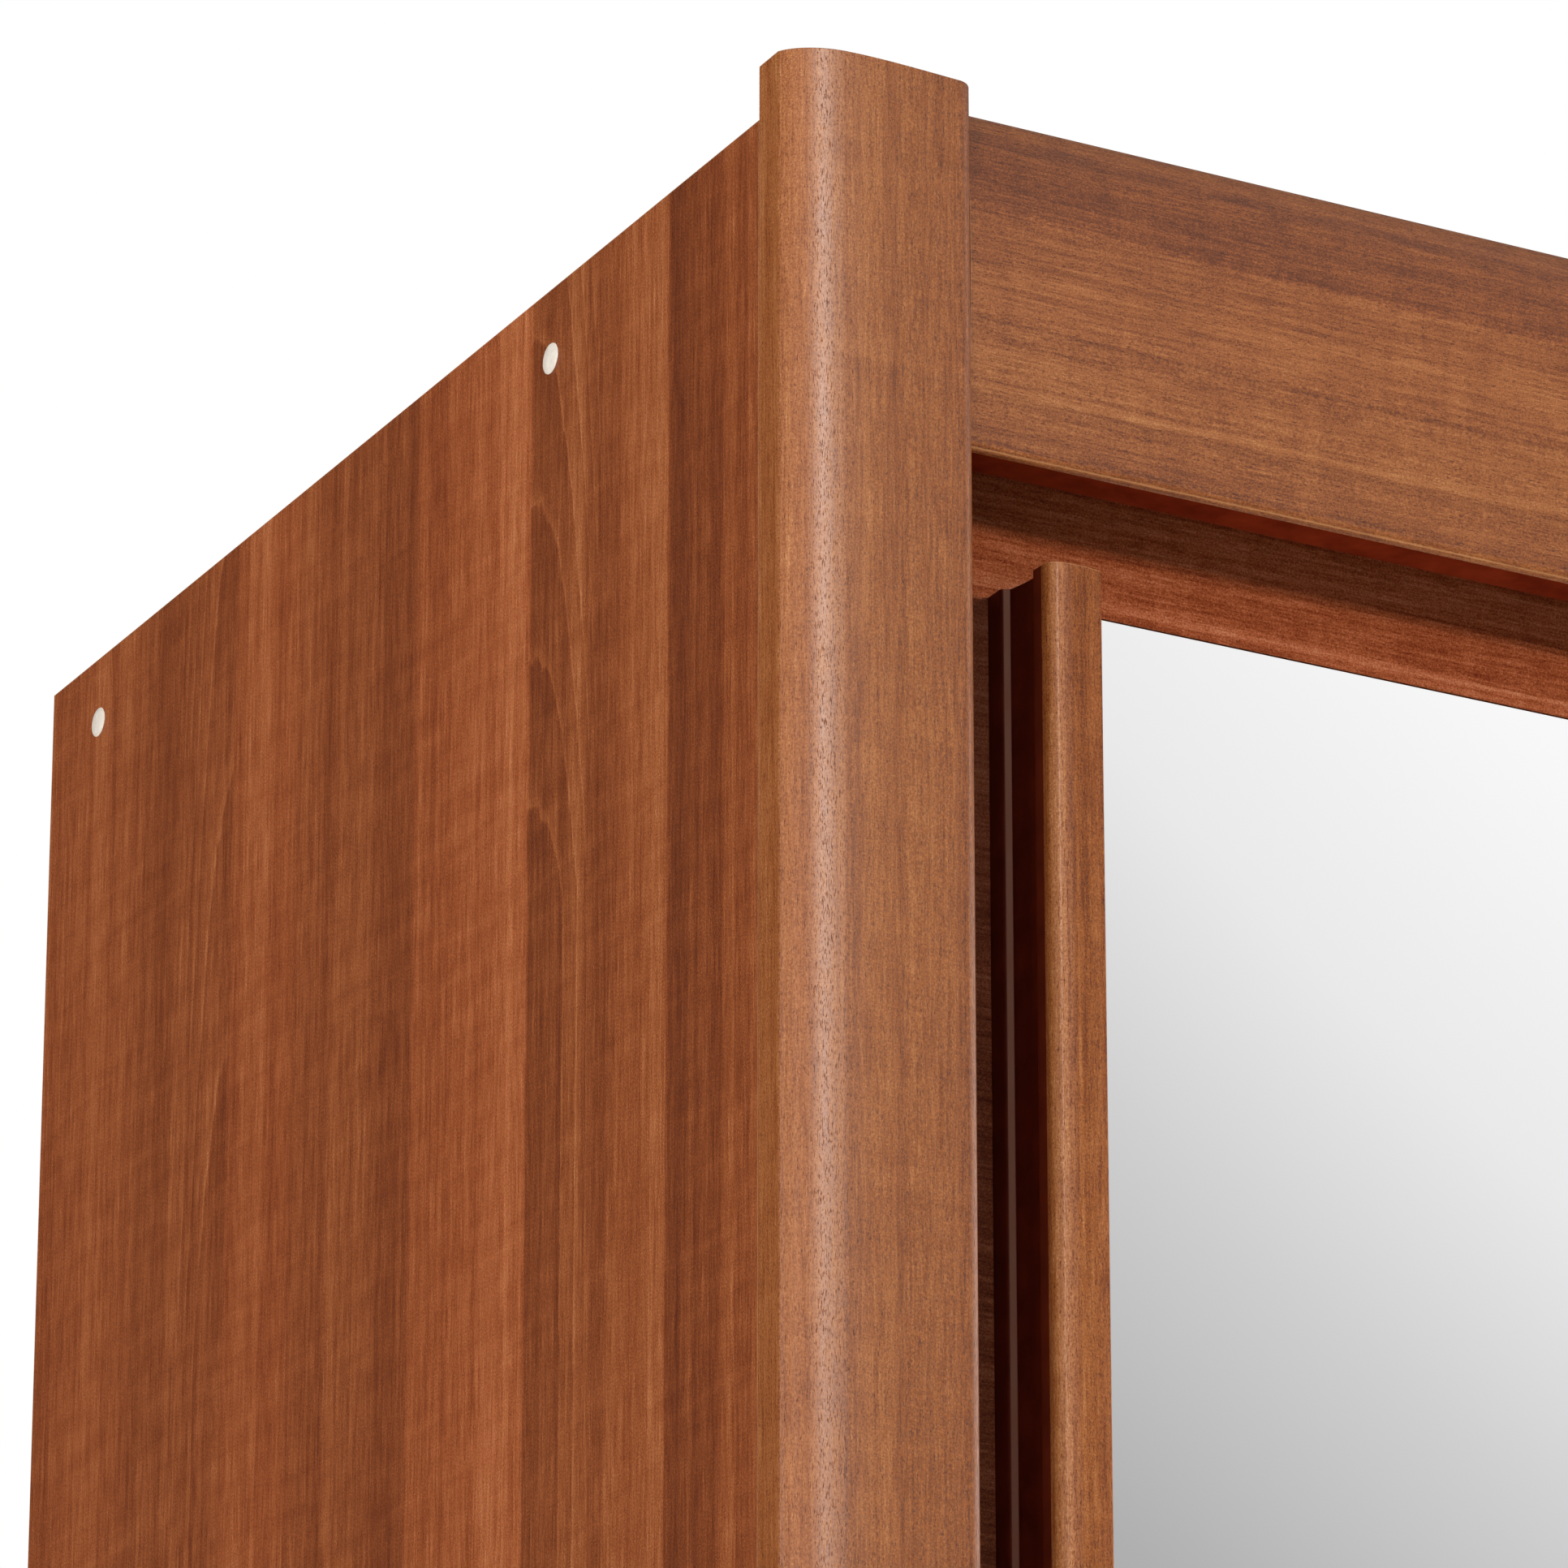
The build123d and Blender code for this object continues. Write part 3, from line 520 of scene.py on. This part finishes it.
def give_foil(names, grain, across, seed, **settings):
    """Gives each panel a veneer of its own; their seeds count up from the given one."""
    for n, name in enumerate(names):
        give([name], wood(name, grain, across, PANEL, seed=seed + n, **settings), 0.5)


SHELVES = ("left_hat_shelf", "right_hat_shelf", "lower_shelf", "middle_shelf", "upper_shelf")
give_foil(["left_side_panel"], Z, Y, 11, layout=(LEFT_SIDE_TONES, LEFT_SIDE_STRIPS))
give_foil(["right_side_panel", "centre_partition"], Z, Y, 12)
give_foil(["top_panel", "bottom_panel", *SHELVES], X, Y, 31, rough=0.5, gloss=0.25)
give_foil(["front_plinth", "rear_plinth"], X, Z, 41)
give_foil(["base_rib"], Y, Z, 45)

for n, name in enumerate(("left_pilaster", "right_pilaster")):
    foil = wood(
        name,
        Z,
        X,
        MOULDING,
        across_moulding(name, PILASTER_HIGHLIGHT_TONES, name == "right_pilaster"),
        seed=51 + n,
        pores=1.3,
        streaks=0.9,
        threads=-0.05,
        gloss=0.28,
        relief=0.02,
    )
    give([name], foil, 0.4)
foil = wood(
    "cornice",
    X,
    Z,
    MOULDING,
    (CORNICE_GRAIN_AND_SHADING, NO_STRIPS),
    seed=55,
    pores=1.3,
    streaks=0.7,
    threads=-0.12,
    rough=0.42,
    gloss=0.26,
    relief=0.03,
    # The pale line at the cornice's lower front edge is partly rubbed foil and partly a painted highlight on
    # the lit rounded edge.
    lips=[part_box("cornice")[0].z + 1.1 * MM],
)
give(["cornice"], foil, 0.4)

for door, seed in (("left_door", 60), ("right_door", 70)):
    give([f"{door}_panel"], wood(f"{door}_panel", X, Z, DEEP, seed=seed, rough=0.5, gloss=0.03), 0.4)
    for place in ("outer", "inner"):
        name = f"{door}_{place}_handle"
        foil = wood(
            name,
            Z,
            X,
            MOULDING,
            across_moulding(name, HANDLE_GRAIN_AND_HIGHLIGHT_TONES, name not in GROOVED_ON_LEFT),
            seed=seed + len(place),
            pores=1.5,
            streaks=0.9,
            threads=-0.12,
            rough=0.36,
            gloss=0.13,
            relief=0.02,
            lips=[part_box(name)[1].z - 0.2 * MM],
        )
        give([name], foil, 0.25)
    give([f"{door}_mirror"], mirror_glass(f"{door}_mirror"), 0.5)

cap_plastic = speckled("cap_plastic", srgb(236, 228, 216), srgb(214, 202, 186), 0.35, 400.0, 0.02)
zinc = speckled("zinc_plated", [0.50, 0.51, 0.52], [0.34, 0.35, 0.37], 0.42, 900.0, 0.02, 1.0)
aluminium = speckled("anodised_aluminium", [0.74, 0.74, 0.73], [0.60, 0.60, 0.60], 0.36, 1500.0, 0.02, 1.0, X)
chrome = speckled("rail_chrome", [0.86, 0.87, 0.88], [0.74, 0.75, 0.77], 0.16, 1200.0, 0.004, 1.0, X)
nylon = speckled("grey_nylon", srgb(150, 152, 152), srgb(118, 120, 122), 0.5, 700.0)
black = speckled("black_plastic", srgb(44, 44, 46), srgb(24, 24, 26), 0.5, 700.0, 0.04)
rubber = speckled("buffer_rubber", srgb(52, 50, 48), srgb(30, 29, 28), 0.8, 500.0, 0.08)

give(["screw_caps"], cap_plastic, 0.1)
give(["corner_brackets", "bracket_screws", "wall_brackets", "wall_bracket_screws"], zinc, 0.1)
give(["carcass_screws", "track_screws", "back_nails"], zinc, 0.1)
give(["front_bottom_track", "rear_bottom_track", "front_top_track", "rear_top_track"], aluminium, 0.15)
give(["hanging_rail", "shelf_pins"], chrome, 0.1)
give(["back_joining_strip", "rail_sockets"], nylon, 0.2)
give(["track_stops", "floor_glides"], black, 0.3)
give(["left_back_sheet", "right_back_sheet"], hardboard("hardboard"), 0.2)
for door in ("left_door", "right_door"):
    give([f"{door}_handle_screws", f"{door}_fitting_screws", f"{door}_axles"], zinc, 0.1)
    give([f"{door}_roller_housings"], zinc, 0.15)
    give([f"{door}_top_guides", f"{door}_outer_wheel", f"{door}_inner_wheel"], nylon, 0.2)
    give([f"{door}_buffers"], rubber, 0.4)

# Second materials, darker walnut as painted shade, for the faces that paint_recess picks.
underside = shaded_walnut("underside_shade_walnut", srgb(108, 36, 16), srgb(82, 23, 9), 0.0)
groove = shaded_walnut("groove_shade_walnut", srgb(100, 36, 18), srgb(76, 23, 11), 0.11)

missing = sorted(set(nodes) - set(finishes))
if missing:
    raise RuntimeError(f"no finish for {missing}")

# ---- Shapes: softened edges, and mouldings drawn again in place of their facets ----
WELD_REACH = 0.005 * MM
FLAT_ANGLE = math.radians(0.5)
BEVEL_ANGLE = math.radians(32)
CORNER_ANGLE = math.radians(26)
STRAIGHT_ANGLE = 1e-3
CURVE_STEP = 0.7 * MM


def dress(node, material, bevel):
    """Gives a node its finish and softens its edges."""
    mesh = node.data
    mesh.materials.clear()
    mesh.materials.append(material)
    mesh.polygons.foreach_set("use_smooth", [True] * len(mesh.polygons))
    weld = node.modifiers.new("weld", "WELD")
    weld.merge_threshold = WELD_REACH
    flat = node.modifiers.new("flat", "DECIMATE")
    flat.decimate_type = "DISSOLVE"
    flat.angle_limit = FLAT_ANGLE
    soften = node.modifiers.new("soften", "BEVEL")
    soften.width = bevel
    soften.segments = 2
    soften.limit_method = "ANGLE"
    soften.angle_limit = BEVEL_ANGLE
    soften.use_clamp_overlap = True
    normals = node.modifiers.new("normals", "WEIGHTED_NORMAL")
    normals.weight = 80


def end_outline(node, axis):
    """The ring of points round a node's flat end at the top of an axis, as pairs of the two other axes."""
    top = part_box(node)[1][axis]
    first, second = [n for n in (X, Y, Z) if n != axis]
    mesh = nodes[node].data
    keys = [tuple(round(v, 6) for v in point.co) for point in mesh.vertices]
    edges = {}
    for polygon in mesh.polygons:
        ring = [keys[n] for n in polygon.vertices]
        if all(abs(key[axis] - top) < 2 * MICRON for key in ring):
            for pair in zip(ring, ring[1:] + ring[:1]):
                edges[pair] = edges.get(pair, 0) + 1
    border = {a: b for a, b in edges if (b, a) not in edges}
    point = max(border)
    outline = []
    while point in border:
        outline.append((point[first], point[second]))
        point = border.pop(point)
    return outline


def smooth_outline(outline):
    """The outline drawn again through its points by curves that stop at its sharp corners."""
    points = [Vector(p) for p in outline]
    count = len(points)

    def turn(n):
        before, after = points[n] - points[n - 1], points[(n + 1) % count] - points[n]
        return before.angle(after)

    corners = [turn(n) > CORNER_ANGLE for n in range(count)]
    ends_line = [corners[n] or turn(n) < STRAIGHT_ANGLE for n in range(count)]
    result = []
    for n in range(count):
        following = (n + 1) % count
        a, b = points[n], points[following]
        before = a + (a - b) if corners[n] else points[n - 1]
        after = b + (b - a) if corners[following] else points[(n + 2) % count]
        chord = (b - a).length
        start = (b - before).normalized() * chord
        end = (after - a).normalized() * chord
        straight = ends_line[n] and ends_line[following]
        pieces = 1 if straight else max(1, math.ceil(chord / CURVE_STEP))
        for step in range(pieces):
            t = step / pieces
            result.append(
                a * (2 * t**3 - 3 * t**2 + 1)
                + start * (t**3 - 2 * t**2 + t)
                + b * (3 * t**2 - 2 * t**3)
                + end * (t**3 - t**2)
            )
    return result


def moulding(node, axis):
    """A length of moulding with a finely drawn section, in place of a CAD node extruded along an axis."""
    low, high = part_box(node)
    first, second = [n for n in (X, Y, Z) if n != axis]
    ring = smooth_outline(end_outline(node, axis))
    vertices = []
    for place in (low[axis], high[axis]):
        for point in ring:
            corner = [0.0, 0.0, 0.0]
            corner[first] = min(max(point[0], low[first]), high[first])
            corner[second] = min(max(point[1], low[second]), high[second])
            corner[axis] = place
            vertices.append(corner)
    count = len(ring)
    faces = [tuple(reversed(range(count))), tuple(range(count, 2 * count))]
    faces += [(n, (n + 1) % count, count + (n + 1) % count, count + n) for n in range(count)]
    mesh = bpy.data.meshes.new(f"{node}_profile")
    mesh.from_pydata(vertices, [], faces)
    shape = bmesh.new()
    shape.from_mesh(mesh)
    bmesh.ops.recalc_face_normals(shape, faces=shape.faces)
    shape.to_mesh(mesh)
    shape.free()
    piece = bpy.data.objects.new(f"{node}_profile", mesh)
    bpy.context.scene.collection.objects.link(piece)
    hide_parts(node)
    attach(piece, nodes[node]["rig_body"])
    return piece


def paint_recess(piece, name):
    """Gives a darker matt walnut, painted shade, to the cornice's underside, or to a handle's sides behind its
    front.

    The side that a handle turns to its mirror keeps the moulding's own foil.
    """
    low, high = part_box(name)
    behind_front = low.y + HANDLE_FRONT
    beside_mirror = high.x if name in GROOVED_ON_LEFT else low.x
    piece.data.materials.append(underside if name == "cornice" else groove)
    for polygon in piece.data.polygons:
        if name == "cornice":
            shaded_face = polygon.normal.z < -0.99
        else:
            off_mirror = abs(polygon.center.x - beside_mirror) > 1.0 * MM
            shaded_face = off_mirror and abs(polygon.normal.z) < 0.5 and polygon.center.y > behind_front
        polygon.material_index = 1 if shaded_face else 0


MOULDING_AXES = {"left_pilaster": Z, "right_pilaster": Z, "cornice": X}
for door in ("left_door", "right_door"):
    MOULDING_AXES[f"{door}_outer_handle"] = Z
    MOULDING_AXES[f"{door}_inner_handle"] = Z
for name, (material, bevel) in finishes.items():
    piece = moulding(name, MOULDING_AXES[name]) if name in MOULDING_AXES else nodes[name]
    dress(piece, material, bevel)
    # The name test takes in the handles' screws too.
    if name == "cornice" or "handle" in name:
        paint_recess(piece, name)

# ---- Floor ----
FLOOR_REACH = 80.0
floor_corners = [(FLOOR_REACH * x, FLOOR_REACH * y, 0) for x, y in ((-1, -1), (1, -1), (1, 1), (-1, 1))]
floor_mesh = bpy.data.meshes.new("floor")
floor_mesh.from_pydata(floor_corners, [], [(0, 1, 2, 3)])
floor = bpy.data.objects.new("floor", floor_mesh)
bpy.context.scene.collection.objects.link(floor)
floor.location.z = cad_low.z
ground = Finish("floor")
haze = ground.noise(ground.place, 2.0, 3.0)
tone = ground.mix(haze, srgb(226, 224, 221), srgb(236, 234, 231))
floor_mesh.materials.append(ground.shade(tone, 0.75))

# ---- Room: plain white to the camera; to the surfaces a soft grey with a bright window and a dark corner ----
world = bpy.data.worlds.new("studio")
bpy.context.scene.world = world
world.use_nodes = True
sky = Graph(world.node_tree)
towards = sky.add("ShaderNodeTexCoord").outputs["Generated"]


def away_from(heart):
    """Angle in degrees between the direction looked in and the heart of a patch of the room."""
    dot = sky.add("ShaderNodeVectorMath", operation="DOT_PRODUCT")
    sky.feed(dot.inputs[0], towards)
    sky.feed(dot.inputs[1], Vector(heart).normalized())
    return sky.math("DEGREES", sky.math("ARCCOSINE", dot.outputs["Value"]))


def patch(heart, levels):
    """Brightness round the heart of a patch, from pairs of degrees away from it and brightness there."""
    reach = levels[-1][0]
    stops = [(angle / reach, [level] * 3) for angle, level in levels]
    return sky.ramp(sky.scaled(away_from(heart), 1 / reach), stops)[0]


WINDOW_LEVELS = ((24, 1.04), (27.4, 1.0), (29.3, 0.87), (30.8, 0.66), (32.5, 0.46), (36, 0.32), (46, 0.26))
CORNER_LEVELS = ((14, 0.16), (40, 1.0))
window = patch((0.666, -0.405, 0.626), WINDOW_LEVELS)
corner_shade = patch((-0.44, 0.82, 0.37), CORNER_LEVELS)
room = sky.mix(1.0, window, corner_shade, "MULTIPLY")
seen = sky.add("ShaderNodeLightPath").outputs["Is Camera Ray"]
background = sky.add("ShaderNodeBackground")
sky.feed(background.inputs["Color"], sky.mix(seen, room, (1.0, 1.0, 1.0)))
sky.tree.links.new(background.outputs[0], sky.add("ShaderNodeOutputWorld").inputs["Surface"])


# ---- Lights ----
# Name; azimuth and elevation in degrees; distance, width and height in metres; power in watts; and the kind of
# ray that misses the light: the key draws no gloss on the wood, and sheen and glow draw nothing else.
LIGHTS = (
    ("key", 18, 1, 4.0, 0.42, 0.40, 104, "visible_glossy"),
    ("left_fill", -86, 6, 4.0, 1.2, 1.2, 78, None),
    ("left_front", -52, 12, 4.0, 0.8, 1.2, 52, None),
    ("right_fill", 80, 12, 4.5, 1.4, 1.4, 36, None),
    ("rear_fill", 165, 32, 4.5, 1.6, 1.6, 90, None),
    ("sheen", -11, 22, 4.0, 0.66, 1.1, 225, "visible_diffuse"),
    ("glow", 10, 15, 4.0, 0.5, 1.1, 48, "visible_diffuse"),
)
LIT_HEIGHT = 2.05
corner = Vector((cad_low.x, cad_low.y, LIT_HEIGHT))


def area_light(name, azimuth, elevation, distance, width, height, power):
    """A soft light aimed at the top corner; azimuth 0 is straight in front, positive to the right."""
    data = bpy.data.lights.new(name, "AREA")
    data.shape = "RECTANGLE"
    data.size, data.size_y = width, height
    data.energy = power
    lamp = bpy.data.objects.new(name, data)
    bpy.context.scene.collection.objects.link(lamp)
    a, e = math.radians(azimuth), math.radians(elevation)
    back = Vector((math.sin(a) * math.cos(e), -math.cos(a) * math.cos(e), math.sin(e)))
    lamp.location = corner + back * distance
    lamp.rotation_mode = "QUATERNION"
    lamp.rotation_quaternion = back.to_track_quat("Z", "Y")
    lamp.visible_camera = False
    return lamp


for *settings, unseen_by in LIGHTS:
    lamp = area_light(*settings)
    if unseen_by:
        setattr(lamp, unseen_by, False)

# ---- Camera: below and to the left of the top corner, as in the photo ----
LENS = 223.6
YAW, PITCH = math.radians(28.29), math.radians(21.99)
LEFT_OF_SIDE, BEFORE_FRONT, EYE_HEIGHT = 1.4536, 2.696, 0.652

camera = bpy.data.cameras.new("camera")
camera.sensor_width = 36.0
camera.lens = LENS
camera.clip_end = 200.0
eye = bpy.data.objects.new("camera", camera)
bpy.context.scene.collection.objects.link(eye)
eye.location = (cad_low.x - LEFT_OF_SIDE, cad_low.y - BEFORE_FRONT, EYE_HEIGHT)
gaze = Vector((math.sin(YAW) * math.cos(PITCH), math.cos(YAW) * math.cos(PITCH), math.sin(PITCH)))
eye.rotation_mode = "QUATERNION"
eye.rotation_quaternion = gaze.to_track_quat("-Z", "Y")
bpy.context.scene.camera = eye
bpy.context.scene.view_settings.view_transform = "Standard"
